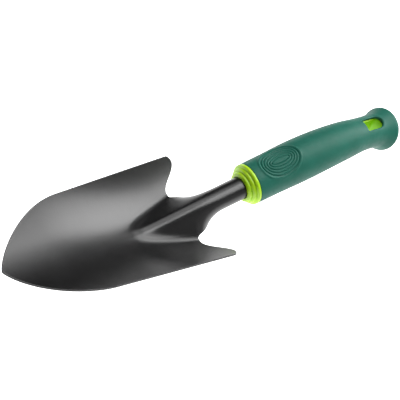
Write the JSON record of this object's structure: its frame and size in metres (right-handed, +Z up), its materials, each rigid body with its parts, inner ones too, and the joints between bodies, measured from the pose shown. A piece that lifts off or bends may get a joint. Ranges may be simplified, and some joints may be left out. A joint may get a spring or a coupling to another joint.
{
  "type": "hand trowel",
  "caption": "Hand trowel: pressed steel scoop with its neck rolled into a tube, set in a plastic handle core under a soft rubber grip with a hanging slot.",
  "frame": {"origin": "on the surface the tool lies on, under the middle of its length and width", "axes": "+X along the tool from the tip of the scoop to the butt of the handle, +Y to the left, +Z up out of the scoop, with the tool lying at rest on its belly and its butt"},
  "size_m": [0.3348, 0.0832, 0.0364],
  "materials": {
    "coated_steel": "satin black powder coat",
    "lime_plastic": "moulded lime green, satin",
    "soft_rubber": "moulded dark green, matte"
  },
  "bodies": {
    "root": {"blade": "coated_steel", "handle_core": "lime_plastic", "grip_sleeve": "soft_rubber"}
  },
  "joints": []
}
